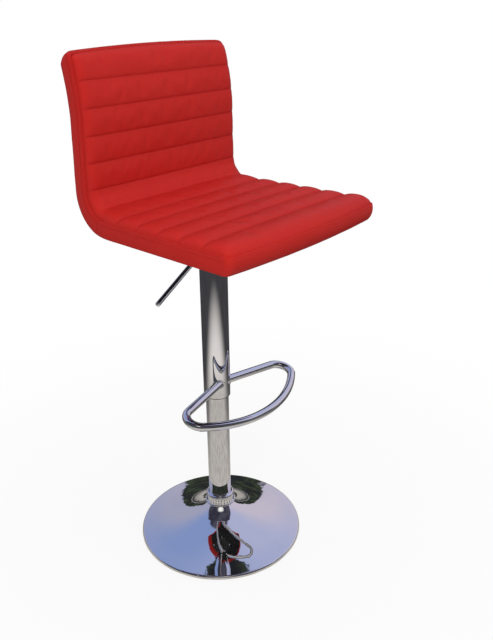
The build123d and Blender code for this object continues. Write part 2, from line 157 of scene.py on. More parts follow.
class Nodes:
    def __init__(self, owner, empty=False):
        owner.use_nodes = True
        self.owner = owner
        self.tree = owner.node_tree
        if empty:
            self.tree.nodes.clear()

    def node(self, kind, settings, inputs, output=0):
        made = self.tree.nodes.new(kind)
        for key, value in settings.items():
            setattr(made, key, value)
        for key, value in inputs.items():
            if isinstance(value, Wire):
                self.tree.links.new(value.socket, made.inputs[key])
            else:
                made.inputs[key].default_value = value
        return Wire(self, made.outputs[output])

    def place(self, scale=(1, 1, 1)):
        plain = self.node("ShaderNodeTexCoord", {}, {}, "Object")
        return self.node("ShaderNodeMapping", {}, {"Vector": plain, "Scale": scale})

    def cloud(self, place, scale, detail=3.0, roughness=0.55):
        inputs = {"Vector": place, "Scale": scale, "Detail": detail, "Roughness": roughness}
        return self.node("ShaderNodeTexNoise", {}, inputs, "Fac")

    def cells(self, place, scale, feature="F1"):
        inputs = {"Vector": place, "Scale": scale}
        return self.node("ShaderNodeTexVoronoi", {"feature": feature}, inputs, "Distance")

    def waves(self, direction, scale, wander):
        inputs = {"Vector": self.place(), "Scale": scale, "Distortion": wander}
        return self.node("ShaderNodeTexWave", {"bands_direction": direction}, inputs, "Fac")

    def between(self, value, low, high):
        inputs = {"Value": value, "From Min": low, "From Max": high}
        return self.node("ShaderNodeMapRange", {"interpolation_type": "SMOOTHSTEP"}, inputs)

    def tint(self, share, low, high):
        low = low if isinstance(low, Wire) else (*low, 1)
        high = high if isinstance(high, Wire) else (*high, 1)
        return self.node("ShaderNodeMix", {"data_type": "RGBA"}, {"Factor": share, 6: low, 7: high}, 2)

    def along(self, place, direction):
        inputs = {0: place, 1: direction}
        return self.node("ShaderNodeVectorMath", {"operation": "DOT_PRODUCT"}, inputs, "Value")

    def bump(self, height, depth):
        return self.node("ShaderNodeBump", {}, {"Height": height, "Distance": depth}, "Normal")

    def surface(self, wire):
        kind = "World" if isinstance(self.owner, bpy.types.World) else "Material"
        output = self.tree.nodes.new("ShaderNodeOutput" + kind)
        self.tree.links.new(wire.socket, output.inputs["Surface"])


class Finish(Nodes):
    def __init__(self, name, **fixed):
        super().__init__(bpy.data.materials.new(name))
        self.shader = self.tree.nodes["Principled BSDF"]
        for key, value in fixed.items():
            self.shader.inputs[key.replace("_", " ")].default_value = value

    def feed(self, **wires):
        for key, wire in wires.items():
            self.tree.links.new(wire.socket, self.shader.inputs[key.replace("_", " ")])
        return self.owner


# finishes

# deep is the colour of the painted shade in the grain's valleys and along the creases
leather = {"red": (0.50, 0.0150, 0.0115), "deep": (0.30, 0.0060, 0.0050), "worn": (0.56, 0.0220, 0.0170),
           "gloss": 0.16, "roughness": 0.44, "softRough": 0.08, "valleyRough": 0.10, "creaseRough": 0.15,
           "grainSize": 0.0011, "poresPerGrain": 2.6, "wrinkleScale": 75, "softScale": 9,
           "valley": (0.35, 0.95), "valleyShade": 0.14, "creaseShade": 0.34,
           "grainDepth": 0.00018, "pebbleShare": 0.75, "poreShare": 0.2, "wrinkleShare": 0.5}


def redLeather(name, creased):
    finish = Finish(name, Specular_IOR_Level=leather["gloss"])
    place = finish.place()
    wrinkle = finish.cloud(place, leather["wrinkleScale"], detail=2)
    pebble = finish.cells(place, 1 / leather["grainSize"], "SMOOTH_F1")
    pores = finish.cells(place, leather["poresPerGrain"] / leather["grainSize"])
    soft = finish.cloud(place, leather["softScale"], detail=4)
    valley = finish.between(pebble, *leather["valley"])
    colour = finish.tint(soft, leather["red"], leather["worn"])
    # painted shade: the grain's valleys are darkened towards the shaded red
    colour = finish.tint(1 - leather["valleyShade"] * valley, leather["deep"], colour)
    rough = leather["roughness"] + leather["softRough"] * soft + leather["valleyRough"] * valley
    # painted shade in the creases: where the crease attribute is high, the colour darkens towards the shaded
    # red and the leather is rougher
    if creased:
        crease = finish.node("ShaderNodeAttribute", {"attribute_name": "crease"}, {}, "Fac")
        colour = finish.tint(1 - leather["creaseShade"] * crease, leather["deep"], colour)
        rough = rough + leather["creaseRough"] * crease
    height = leather["pebbleShare"] * pebble + leather["poreShare"] * pores
    height = height + leather["wrinkleShare"] * wrinkle
    return finish.feed(Base_Color=colour, Roughness=rough, Normal=finish.bump(height, leather["grainDepth"]))


thread = {"dark": (0.34, 0.005, 0.006), "light": (0.52, 0.012, 0.012), "gloss": 0.25, "twists": 900.0,
          "wander": 1.5, "roughness": 0.55, "twistRough": 0.2, "twistDepth": 0.0001}


def threadFinish():
    finish = Finish("redThread", Specular_IOR_Level=thread["gloss"])
    twist = finish.waves("DIAGONAL", thread["twists"], thread["wander"])
    return finish.feed(Base_Color=finish.tint(twist, thread["dark"], thread["light"]),
                       Roughness=thread["roughness"] + thread["twistRough"] * twist,
                       Normal=finish.bump(twist, thread["twistDepth"]))


chrome = {"bright": (0.88, 0.885, 0.90), "dull": (0.80, 0.805, 0.82), "polish": 0.02, "smudge": 0.10,
          "smearScale": 11, "smear": (0.5, 0.8), "smearShare": 0.5, "lineShare": 0.4, "lineDepth": 0.000004}


def chromeFinish(name, streaks):
    finish = Finish(name, Metallic=1.0)
    smear = finish.cloud(finish.place(), chrome["smearScale"], detail=5, roughness=0.65)
    smear = finish.between(smear, *chrome["smear"])
    lines = finish.cloud(finish.place(streaks), 1.0, detail=4, roughness=0.7)
    worn = chrome["smearShare"] * smear + chrome["lineShare"] * lines
    return finish.feed(Base_Color=finish.tint(worn, chrome["bright"], chrome["dull"]),
                       Roughness=chrome["polish"] + chrome["smudge"] * smear * lines,
                       Normal=finish.bump(lines, chrome["lineDepth"]))


blackPaint = {"dark": (0.018, 0.018, 0.02), "pale": (0.045, 0.045, 0.048), "gloss": 0.45, "peelScale": 850,
              "patchScale": 14, "roughness": 0.38, "patchRough": 0.2, "peelDepth": 0.00012}


def paintedSteel():
    finish = Finish("blackPaint", Specular_IOR_Level=blackPaint["gloss"])
    peel = finish.cloud(finish.place(), blackPaint["peelScale"], detail=2)
    patch = finish.cloud(finish.place(), blackPaint["patchScale"], detail=4)
    return finish.feed(Base_Color=finish.tint(patch, blackPaint["dark"], blackPaint["pale"]),
                       Roughness=blackPaint["roughness"] + blackPaint["patchRough"] * patch,
                       Normal=finish.bump(peel, blackPaint["peelDepth"]))


lathe = {"patchScale": 60, "roughness": 0.24, "ringRough": 0.2, "ringDepth": 0.00004}


def turnedMetal(name, low, high, turning):
    finish = Finish(name, Metallic=1.0)
    rings = finish.cloud(finish.place(turning), 1.0)
    patch = finish.cloud(finish.place(), lathe["patchScale"], detail=4)
    return finish.feed(Base_Color=finish.tint(patch, low, high),
                       Roughness=lathe["roughness"] + lathe["ringRough"] * rings,
                       Normal=finish.bump(rings, lathe["ringDepth"]))


moulded = {"gloss": 0.35, "dustScale": 25, "dustRough": 0.15, "grainDepth": 0.0001}


def mouldedBlack(name, low, high, roughness, grain):
    finish = Finish(name, Specular_IOR_Level=moulded["gloss"])
    fine = finish.cloud(finish.place(), grain)
    dusty = finish.cloud(finish.place(), moulded["dustScale"], detail=5)
    return finish.feed(Base_Color=finish.tint(dusty, low, high),
                       Roughness=roughness + moulded["dustRough"] * dusty,
                       Normal=finish.bump(fine, moulded["grainDepth"]))


plywood = {"dark": (0.40, 0.25, 0.13), "pale": (0.66, 0.50, 0.31), "grain": (6, 90, 90), "layers": 180.0,
           "wander": 2.0, "grainShare": 0.6, "layerShare": 0.4, "roughness": 0.6, "grainRough": 0.2,
           "grainDepth": 0.0003}


def plywoodFinish():
    finish = Finish("bentPlywood")
    grain = finish.cloud(finish.place(plywood["grain"]), 1.0, detail=6, roughness=0.7)
    layers = finish.waves("Z", plywood["layers"], plywood["wander"])
    share = plywood["grainShare"] * grain + plywood["layerShare"] * layers
    return finish.feed(Base_Color=finish.tint(share, plywood["dark"], plywood["pale"]),
                       Roughness=plywood["roughness"] + plywood["grainRough"] * grain,
                       Normal=finish.bump(grain, plywood["grainDepth"]))


spun = {"dark": (0.012, 0.012, 0.013), "pale": (0.04, 0.04, 0.043), "gloss": 0.2, "dotScale": 420,
        "fuzzScale": 1500, "roughness": 0.8, "fuzzRough": 0.15, "dotShare": 0.7, "fuzzShare": 0.3,
        "depth": 0.0003}


def spunCloth():
    finish = Finish("spunCloth", Specular_IOR_Level=spun["gloss"])
    dots = finish.cells(finish.place(), spun["dotScale"])
    fuzz = finish.cloud(finish.place(), spun["fuzzScale"])
    height = spun["dotShare"] * dots + spun["fuzzShare"] * fuzz
    return finish.feed(Base_Color=finish.tint(fuzz, spun["dark"], spun["pale"]),
                       Roughness=spun["roughness"] + spun["fuzzRough"] * fuzz,
                       Normal=finish.bump(height, spun["depth"]))


cushionLeather = redLeather("cushionLeather", creased=True)
boxingLeather = redLeather("boxingLeather", creased=True)
coverLeather = redLeather("coverLeather", creased=False)
redThread = threadFinish()
barChrome = chromeFinish("barChrome", streaks=(60, 60, 60))
tubeChrome = chromeFinish("tubeChrome", streaks=(220, 220, 3))  # drawn tube: faint lines along it
dishChrome = chromeFinish("dishChrome", streaks=(25, 25, 25))
zinc = turnedMetal("zincSteel", (0.50, 0.51, 0.52), (0.68, 0.69, 0.70), turning=(40, 40, 900))
alloy = turnedMetal("turnedAlloy", (0.62, 0.63, 0.64), (0.74, 0.75, 0.76), turning=(30, 30, 1400))
rubber = mouldedBlack("blackRubber", (0.010, 0.010, 0.010), (0.032, 0.031, 0.030), roughness=0.62, grain=600)
nylon = mouldedBlack("blackNylon", (0.014, 0.014, 0.015), (0.035, 0.035, 0.036), roughness=0.42, grain=900)
clothBlack = spunCloth()

slotFinish = {"chrome": barChrome, "black_steel": paintedSteel(), "bright_steel": zinc, "piston_alloy": alloy,
              "black_rubber": rubber, "black_nylon": nylon, "plywood": plywoodFinish(),
              "dust_cloth": clothBlack}
nodeFinish = {"column_tube": tubeChrome, "cover_sleeve": tubeChrome, "base_dish": dishChrome}
for subpart in frame["record"]["subparts"]:
    name = subpart["node"]
    slot = subpart["material_slot"]
    if slot in slotFinish:
        cadNodes[name].data.materials.clear()
        cadNodes[name].data.materials.append(nodeFinish.get(name, slotFinish[slot]))
print("finishes on the metal, rubber and wood")


# the bent shell: a point is found by its run along the shell and its depth from the outside

shell = {"bottom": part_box("seat_cover")[0].z, "front": 0.256, "frontBow": 0.0125, "bendStart": 0.082,
         "bendRadius": 0.082, "bendTurn": radians(91), "straight": 0.118, "curlRadius": 0.360,
         "backRun": 0.320, "topArch": 0.0055, "width": 0.429, "frontFlare": 0.017, "topTaper": 0.015,
         "channelDepth": 0.0465, "corner": 0.014,
         "backFrom": -0.03}  # the run at which the seat starts to look like the back
frontRun = -(shell["front"] + shell["bendStart"])
bendReference = shell["bendRadius"] - shell["channelDepth"]
bendRun = bendReference * shell["bendTurn"]
curlRun = bendRun + shell["straight"]


def shellPoint(run, depth):
    if run <= 0:
        return shell["bendStart"] + run, shell["bottom"] + depth
    turn = min(run / bendReference, shell["bendTurn"])
    reach = shell["bendRadius"] - depth
    straight = min(max(run - bendRun, 0), shell["straight"])
    curl = max(run - curlRun, 0) / (shell["curlRadius"] + shell["channelDepth"])
    swing = shell["curlRadius"] + depth
    y = shell["bendStart"] + reach * sin(turn) + straight * cos(turn)
    z = shell["bottom"] + shell["bendRadius"] - reach * cos(turn) + straight * sin(turn)
    return y + swing * (sin(turn) - sin(turn - curl)), z + swing * (cos(turn - curl) - cos(turn))


def halfWidth(y, z):
    flare = shell["frontFlare"] / 2 * (shell["bendStart"] - y) / -frontRun
    taper = shell["topTaper"] / 2 * (z - shell["bottom"]) / shell["backRun"]
    return shell["width"] / 2 + flare - taper


def frontAt(across):
    return frontRun + shell["frontBow"] * across ** 2


def topAt(across):
    return shell["backRun"] - shell["topArch"] * across ** 2


def cornerGap(inward, corner):
    share = min(max(inward / corner, 0), 1)
    return corner * (1 - sqrt(share)) ** 2


# cushion with sewn channels

cushion = {"columns": 84, "spacing": 1.3, "slab": 0.01, "ribRows": 9, "ribRound": 2.4,
           "gully": 0.0016, "gullyDepth": 0.0015, "seatRib": 0.0048, "backRib": 0.0019, "frontRib": 0.0068,
           "crown": 0.0015, "foldFill": 0.0035, "foldNarrow": 2, "seamDepth": 0.0362, "underside": 0.0166,
           "seatInset": -0.0002, "backInset": 0.0020, "frontOut": 0.0026, "topInset": 0.0008,
           "seatShoulder": 0.024, "backShoulder": 0.021, "frontShoulder": 0.028, "topShoulder": 0.022,
           "shoulderChange": 0.08, "creaseReach": 0.0026, "edgeCrease": 1.6,
           "firstSeat": -0.040, "seatPitch": -0.0564, "seatCount": 5, "fold": 0.0186,
           "firstBack": 0.0616, "backPitch": 0.050, "backCount": 5, "frames": 20, "cap": 0.0014}
clothSettings = {"quality": 6, "mass": 0.25, "tension_stiffness": 18, "compression_stiffness": 18,
                 "shear_stiffness": 8, "bending_stiffness": 5,
                 "shrink_min": -0.004,  # a little loose, so that it puckers
                 "use_pressure": True, "uniform_pressure_force": 4.0}
sewnRuns = [cushion["firstSeat"] + cushion["seatPitch"] * i for i in range(cushion["seatCount"])]
sewnRuns += [cushion["firstBack"] + cushion["backPitch"] * i for i in range(cushion["backCount"])]
ribStops = sorted(sewnRuns + [cushion["fold"]])


def ribRows():
    # each row: a rib's number, its share of the way across the rib, and its offset from a sewn line
    rows = [(0, 0, 0)]
    for rib in range(len(ribStops) + 1):
        rows += [(rib, i / (cushion["ribRows"] + 1), 0) for i in range(1, cushion["ribRows"] + 1)]
        if rib < len(ribStops):
            sewn = ribStops[rib] in sewnRuns
            rows += [(rib, 1, step * cushion["gully"]) for step in ((-1, 0, 1) if sewn else (0,))]
    return rows + [(len(ribStops), 1, 0)]


def cushionFace(row, across):
    rib, share, offset = row
    stops = [frontAt(across) - cushion["frontOut"]] + ribStops + [topAt(across) - cushion["topInset"]]
    run = mixed(stops[rib], stops[rib + 1], share) + offset
    fromFront = run - stops[0]
    fromTop = stops[-1] - run
    height = mixed(cushion["seatRib"], cushion["backRib"], smoothStep(0, bendRun, run))
    if rib == 0:
        height = cushion["frontRib"]
    depth = shell["channelDepth"] + height * (1 - abs(2 * share - 1) ** cushion["ribRound"])
    depth += cushion["crown"] * (1 - across ** 2)
    depth += cushion["foldFill"] * exp(-((run - bendRun / 2) / bendRun) ** 2 * cushion["foldNarrow"])
    if share == 1 and offset == 0 and stops[rib + 1] in sewnRuns:
        depth -= cushion["gullyDepth"]
    onBack = smoothStep(shell["backFrom"], bendRun, run)
    reach = halfWidth(*shellPoint(run, depth)) - mixed(cushion["seatInset"], cushion["backInset"], onBack)
    reach -= cornerGap(min(fromFront, fromTop), shell["corner"])
    side = (1 - abs(across)) * reach
    turned = smoothStep(shell["backFrom"], cushion["shoulderChange"], run)
    rise = rounded(side, mixed(cushion["seatShoulder"], cushion["backShoulder"], turned))
    rise *= rounded(fromFront, cushion["frontShoulder"])
    rise *= rounded(fromTop, cushion["topShoulder"])
    y, z = shellPoint(run, mixed(cushion["seamDepth"], depth, rise))
    return Vector((across * reach, y, z)), run, min(side, fromFront, fromTop)


def cushionUnder(row, across):
    face, run = cushionFace(row, across)[:2]
    return Vector((face.x, *shellPoint(run, cushion["underside"])))


def acrossAt(column):
    share = 2 * column / cushion["columns"] - 1
    side = 1 if share > 0 else -1
    return (1 - (1 - abs(share)) ** cushion["spacing"]) * side  # closer columns on the shoulders


def blowOut(thing, held):
    pick(thing)
    rest = [v.co.copy() for v in thing.data.vertices]
    thing.vertex_groups.new(name="held").add(held, 1.0, "REPLACE")
    modifier = thing.modifiers.new("Cloth", "CLOTH")
    for key, value in clothSettings.items():
        setattr(modifier.settings, key, value)
    modifier.settings.vertex_group_mass = "held"
    modifier.settings.effector_weights.gravity = 0
    for step in range(1, cushion["frames"] + 1):
        scene.frame_set(step)
    blown = thing.evaluated_get(bpy.context.evaluated_depsgraph_get()).to_mesh()
    moves = [v.co - start for v, start in zip(blown.vertices, rest)]
    thing.modifiers.remove(modifier)
    scene.frame_set(1)
    for vertex, start, move in zip(thing.data.vertices, rest, moves):
        vertex.co = start + move * min(1, cushion["cap"] / max(move.length, 1e-9))
    print("cushion blown out by", round(max(move.length for move in moves) * 1000, 2), "mm before the cap")


def makeCushion():
    rows = ribRows()
    columns = cushion["columns"]
    deselectAll()
    bpy.ops.mesh.primitive_grid_add(x_subdivisions=columns, y_subdivisions=len(rows) - 1, size=2)
    pad = added("seatCushion")
    spots = []
    for vertex in pad.data.vertices:
        column = round((vertex.co.x + 1) / 2 * columns)
        row = round((vertex.co.y + 1) / 2 * (len(rows) - 1))
        spots.append((column, row))
    faces = [cushionFace(rows[row], acrossAt(column)) for column, row in spots]
    for vertex, face in zip(pad.data.vertices, faces):
        vertex.co = face[0]
    modify(pad, "SOLIDIFY", thickness=cushion["slab"], offset=-1)
    count = len(spots)
    for vertex, (column, row) in zip(pad.data.vertices[count:], spots):
        vertex.co = cushionUnder(rows[row], acrossAt(column))  # flat against the board
    tidyMesh(pad)
    # painted shade: the crease attribute marks the sewn channels and the back's sewn edge, where the leather
    # colour is darkened
    crease = pad.data.attributes.new("crease", "FLOAT", "POINT")
    held = list(range(count, 2 * count))
    for index, (_, run, rim) in enumerate(faces):
        seam = min(abs(run - sewn) for sewn in sewnRuns)
        if run > 0:
            seam = min(seam, cushion["edgeCrease"] * rim)  # the back's edge is sewn too
        crease.data[index].value = exp(-seam / cushion["creaseReach"])
        column, row = spots[index]
        if rows[row][1] in (0, 1) or column in (0, columns):
            held.append(index)
    blowOut(pad, held)
    modify(pad, "SUBSURF", levels=1, render_levels=1)
    finishPiece(pad, "seat", cushionLeather)
    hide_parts("seat_cushion")
    print("cushion", len(pad.data.polygons), "faces")


makeCushion()


# boxing band all round the edge, with a flat double seam along its inner side

boxing = {"step": 0.0055, "bendStep": 0.0026, "cornerSteps": 9, "wall": 0.0016, "mergeGap": 1e-5,
          "sideTuck": 0.0018, "endTuck": 0.0062, "sideBulge": 0.0018, "endBulge": 0.0050, "widest": 0.025,
          "lowerSeam": 0.0290, "upperSeam": 0.0364, "seamFrom": 0.02, "seamMost": 0.002,
          "seatSeam": 0.15, "frontRoll": (0.1, 0.8), "rollIn": 0.42, "rollPast": 0.004,
          "seamCrease": 0.75, "seamReach": 0.0009, "uneven": 0.0004, "unevenScale": (28, 7, 60),
          "joint": 0.010, "jointWidth": 0.0014, "jointDepth": 0.0008, "jointCrease": 0.7,
          # depth, share of the tuck, share of the bulge and what is added, from the outside to the cushion
          "profile": [(0.0018, 1.0, 0.0, 0.0042), (0.0004, 1.0, 0.0, 0.0022), (0.0004, 1.0, 0.0, 0.0004),
                      (0.0026, 0.62, 0.0, 0.0), (0.0075, 0.22, 0.25, 0.0), (0.0135, 0.0, 0.65, 0.0),
                      (0.0200, 0.0, 0.93, 0.0), (0.0250, 0.0, 1.0, 0.0), (0.0278, 0.0, 0.96, 0.0001),
                      (0.0290, 0.0, 0.90, 0.0006), (0.0302, 0.0, 0.82, 0.0001), (0.0330, 0.0, 0.56, 0.0),
                      (0.0352, 0.0, 0.26, 0.0003), (0.0364, 0.0, 0.02, 0.0014), (0.0362, 0.0, 0.0, 0.0030),
                      (0.0345, 0.0, 0.0, 0.0040)]}


def stepsBetween(low, high, step):
    count = max(round((high - low) / step), 1)
    return [mixed(low, high, i / count) for i in range(count)]


def edgeLoop():
    # run and share across for each point, from the middle of the front, round the right side first
    corner = shell["corner"]
    half = shell["width"] / 2
    inner = 1 - corner / half
    front = frontAt(1)
    top = topAt(1)
    turns = [i / boxing["cornerSteps"] for i in range(boxing["cornerSteps"])]
    joints = [boxing["joint"] + side * boxing["jointWidth"] for side in (-1, 0, 1)]
    right = [(frontAt(s), s) for s in stepsBetween(0, inner, boxing["step"] / half)]
    right += [(mixed(mixed(frontAt(inner), front, t), mixed(front, front + corner, t), t),
               1 - (1 - inner) * (1 - t) ** 2) for t in turns]
    right += [(run, 1) for run in stepsBetween(front + corner, joints[0], boxing["step"])[:-1] + joints]
    right += [(run, 1) for run in stepsBetween(joints[2], bendRun, boxing["bendStep"])[1:]]
    right += [(run, 1) for run in stepsBetween(bendRun, top - corner, boxing["step"])]
    right += [(mixed(mixed(top - corner, top, t), mixed(top, topAt(inner), t), t),
               1 - (1 - inner) * t ** 2) for t in turns]
    right += [(topAt(s), s) for s in stepsBetween(inner, 0, -boxing["step"] / half)]
    left = [(run, -s) for run, s in reversed(right[1:])]
    return right + [(topAt(0), 0)] + left


def withNormals(loop):
    found = []
    for index, (run, across) in enumerate(loop):
        before = loop[index - 1]
        after = loop[(index + 1) % len(loop)]
        along = Vector(((after[1] - before[1]) * shell["width"] / 2, after[0] - before[0])).normalized()
        found.append((run, across, Vector((-along.y, along.x))))
    return found


shellEdge = withNormals(edgeLoop())


def edgePoint(spot, depth, inset):
    run, across, inward = spot
    y, z = shellPoint(run + inset * inward.y, depth)
    return Vector((across * halfWidth(y, z) + inset * inward.x, y, z))


def seamShare(spot):
    # hardly sunk along the seat, and not at all at the front, where the top leather rolls over
    run, _, inward = spot
    onBack = smoothStep(shell["backFrom"], bendRun, run)
    return (1 - smoothStep(*boxing["frontRoll"], inward.y)) * mixed(boxing["seatSeam"], 1, onBack)


def boxingInset(spot, depth, tuckShare, bulgeShare, extra):
    ends = abs(spot[2].y)
    tuck = mixed(boxing["sideTuck"], boxing["endTuck"], ends)
    bulge = mixed(boxing["sideBulge"], boxing["endBulge"], ends)
    if depth > boxing["widest"]:
        rollEnd = boxing["upperSeam"] + boxing["rollPast"]
        rolled = 1 - boxing["rollIn"] * smoothStep(boxing["widest"], rollEnd, depth)
        bulgeShare = mixed(rolled, bulgeShare, seamShare(spot))
    return tuck * tuckShare - bulge * bulgeShare + extra


def makeBoxing():
    profile = boxing["profile"]
    deselectAll()
    bpy.ops.mesh.primitive_grid_add(x_subdivisions=len(shellEdge), y_subdivisions=len(profile) - 1, size=2)
    band = added("boxingBand")
    crease = band.data.attributes.new("crease", "FLOAT", "POINT")
    for index, vertex in enumerate(band.data.vertices):
        spot = shellEdge[round((vertex.co.x + 1) / 2 * len(shellEdge)) % len(shellEdge)]
        depth, tuckShare, bulgeShare, extra = profile[round((vertex.co.y + 1) / 2 * (len(profile) - 1))]
        run, across = spot[:2]
        if extra < boxing["seamMost"] and depth > boxing["seamFrom"]:
            extra *= seamShare(spot)
        inset = boxingInset(spot, depth, tuckShare, bulgeShare, extra)
        inset += wobble(boxing["unevenScale"], run, across, depth) * boxing["uneven"]
        atJoint = abs(across) == 1 and abs(run - boxing["joint"]) < boxing["jointWidth"] / 2
        if atJoint:
            inset += boxing["jointDepth"]
        vertex.co = edgePoint(spot, depth, inset)
        # painted shade along the two seams and at the joint, carried by the crease attribute
        seam = min(abs(depth - boxing["lowerSeam"]), abs(depth - boxing["upperSeam"]))
        sunk = boxing["seamCrease"] * exp(-seam / boxing["seamReach"]) * seamShare(spot)
        crease.data[index].value = boxing["jointCrease"] if atJoint else sunk
    tidyMesh(band, boxing["mergeGap"])
    modify(band, "SOLIDIFY", thickness=boxing["wall"], offset=-1)
    modify(band, "SUBSURF", levels=1, render_levels=1)
    finishPiece(band, "seat", boxingLeather)
    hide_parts("side_strip_left", "side_strip_right")
    print("boxing", len(band.data.polygons), "faces")


makeBoxing()


# outer cover on the back and the underside

outer = {"columns": 60, "step": 0.006, "inset": 0.0012, "corner": 0.007, "thickness": 0.0018,
         "swell": 0.0012, "swellReach": 0.12, "swellRun": (0.02, 0.14), "ripple": 0.0005,
         "rippleScale": (3, 14, 0.3), "tuck": 0.0014, "tuckReach": 0.004}


def makeOuterCover():
    rows = round((shell["backRun"] - frontRun) / outer["step"])
    deselectAll()
    bpy.ops.mesh.primitive_grid_add(x_subdivisions=outer["columns"], y_subdivisions=rows, size=2)
    panel = added("outerCover")
    for vertex in panel.data.vertices:
        across = vertex.co.x
        ends = boxing["endTuck"] + outer["inset"]
        run = mixed(frontAt(across) + ends, topAt(across) - ends, (vertex.co.y + 1) / 2)
        gap = min(run - frontAt(across), topAt(across) - run) - ends
        reach = halfWidth(*shellPoint(run, 0)) - boxing["sideTuck"] - outer["inset"]
        reach -= cornerGap(gap, outer["corner"])
        rim = min((1 - abs(across)) * reach, gap)
        onBack = smoothStep(*outer["swellRun"], run)
        swell = outer["swell"] * onBack * rounded(rim, outer["swellReach"])
        ripple = wobble(outer["rippleScale"], across, run, 1) * outer["ripple"] * onBack
        tuck = outer["tuck"] * exp(-rim / outer["tuckReach"])
        vertex.co = (across * reach, *shellPoint(run, tuck - swell - ripple))
    modify(panel, "SOLIDIFY", thickness=outer["thickness"], offset=1)
    tidyMesh(panel)
    modify(panel, "SUBSURF", levels=1, render_levels=1)
    finishPiece(panel, "seat", coverLeather)
    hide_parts("seat_cover")
    print("outer cover", len(panel.data.polygons), "faces")


makeOuterCover()


# stitches along the seams

stitch = {"length": 0.0040, "thick": 0.0008, "pitch": 0.0052, "beside": 0.0016, "points": 60,
          "channelReach": 0.97, "frontEnd": 0.2, "lowerBulge": 0.98, "upperBulge": 0.32}


def sewAlong(name, points):
    path = bpy.data.curves.new(name + "Path", "CURVE")
    path.dimensions = "3D"
    path.twist_mode = "Z_UP"
    line = path.splines.new("POLY")
    line.points.add(len(points) - 1)
    for point, place in zip(line.points, points):
        point.co = (*place, 1)
    guide = bpy.data.objects.new(name + "Path", path)
    scene.collection.objects.link(guide)
    deselectAll()
    bpy.ops.mesh.primitive_uv_sphere_add(segments=6, ring_count=5, radius=0.5, rotation=(0, pi / 2, 0))
    row = added(name)
    row.scale = (stitch["thick"], stitch["thick"], stitch["length"])
    bpy.ops.object.transform_apply(location=True, rotation=True, scale=True)
    modify(row, "ARRAY", fit_type="FIT_CURVE", curve=guide, use_relative_offset=False,
           use_constant_offset=True, constant_offset_displace=(stitch["pitch"], 0, 0))
    modify(row, "CURVE", object=guide, deform_axis="POS_X")
    bpy.data.objects.remove(guide)
    return row


def makeStitches():
    rows = []
    sewnEdge = [spot for spot in shellEdge if spot[2].y < stitch["frontEnd"]]
    for seam in ("lower", "upper"):
        depth = boxing[seam + "Seam"] - stitch["beside"]
        bulge = stitch[seam + "Bulge"]
        places = [edgePoint(spot, depth, boxingInset(spot, depth, 0, bulge, 0)) for spot in sewnEdge]
        rows.append(sewAlong(seam + "Stitch", places))
    spread = [stitch["channelReach"] * (2 * i / stitch["points"] - 1) for i in range(stitch["points"] + 1)]
    for number, run in enumerate(sewnRuns):
        row = (ribStops.index(run), 1, 0)
        rows.append(sewAlong(f"channelStitch{number}", [cushionFace(row, s)[0] for s in spread]))
    sewing = joined("seamStitches", rows)
    finishPiece(sewing, "seat", redThread)
    print("stitches", len(sewing.data.polygons), "faces")


makeStitches()


# dust cover under the seat, folded at its edge and stapled

dust = {"columns": 48, "rows": 40, "fold": 0.012, "foldBlur": 0.004, "foldHeight": 0.0005, "sag": 0.0006,
        "wave": 0.0002, "waveScale": (5, 5, 1.7), "thickness": 0.0006, "stapleStep": 0.045,
        "stapleLength": 0.010, "stapleThick": 0.0009, "stapleBevel": 0.0003, "stapleDrop": 0.001}


def makeDustCover():
    low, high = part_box("dust_cover")
    size = high - low
    middle = (low + high) / 2
    deselectAll()
    bpy.ops.mesh.primitive_grid_add(x_subdivisions=dust["columns"], y_subdivisions=dust["rows"], size=2)
    cloth = added("dustCloth")
    for vertex in cloth.data.vertices:
        x, y = vertex.co.xy
        inner = min((1 - abs(x)) * size.x, (1 - abs(y)) * size.y) / 2
        flat = smoothStep(dust["fold"] - dust["foldBlur"], dust["fold"] + dust["foldBlur"], inner)
        fold = dust["foldHeight"] * (1 - flat)
        wave = wobble(dust["waveScale"], x, y, 1) * dust["wave"]
        sag = dust["sag"] * (1 - x * x) * (1 - y * y)
        vertex.co = middle + Vector((x * size.x / 2, y * size.y / 2, -fold - wave - sag))
    modify(cloth, "SOLIDIFY", thickness=dust["thickness"], offset=0)
    tidyMesh(cloth)
    finishPiece(cloth, "seat", clothBlack)
    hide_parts("dust_cover")
    spots = []
    for turned, along, across in ((False, size.x, size.y), (True, size.y, size.x)):
        count = round(along / dust["stapleStep"])
        for i in range(count):
            shift = ((i + 0.5) / count - 0.5) * along
            reach = across / 2 - dust["fold"] / 2
            spots += [(shift, sign * reach, turned) for sign in (-1, 1)]
    makeStaples(spots, middle, low.z - dust["stapleDrop"])
    print("dust cover with", len(spots), "staples")


def makeStaples(spots, middle, level):
    deselectAll()
    bpy.ops.mesh.primitive_cube_add(size=1)
    model = added("staple")
    model.scale = (dust["stapleLength"], dust["stapleThick"], dust["stapleThick"])
    bpy.ops.object.transform_apply(scale=True)
    modify(model, "BEVEL", width=dust["stapleBevel"], segments=2)
    copies = []
    for shift, reach, turned in spots:
        copy = model.copy()
        copy.data = model.data.copy()
        scene.collection.objects.link(copy)
        offset = Vector((reach, shift, 0)) if turned else Vector((shift, reach, 0))
        offset += Vector((middle.x, middle.y, level))
        copy.data.transform(Matrix.Translation(offset) @ Matrix.Rotation(pi / 2 if turned else 0, 4, "Z"))
        copies.append(copy)
    bpy.data.objects.remove(model)
    finishPiece(joined("dustStaples", copies), "seat", zinc)


makeDustCover()


# weld beads where the footrest's ends meet the sleeve

weld = {"armAngle": radians(11.5), "tilt": radians(12), "height": 0.4118, "root": 0.0188, "tube": 0.009,
        "sleeve": 0.030, "spread": 0.0007, "bead": 0.0019, "around": 104, "section": 14,
        "ripples": 26, "rippleHeight": 0.00025}


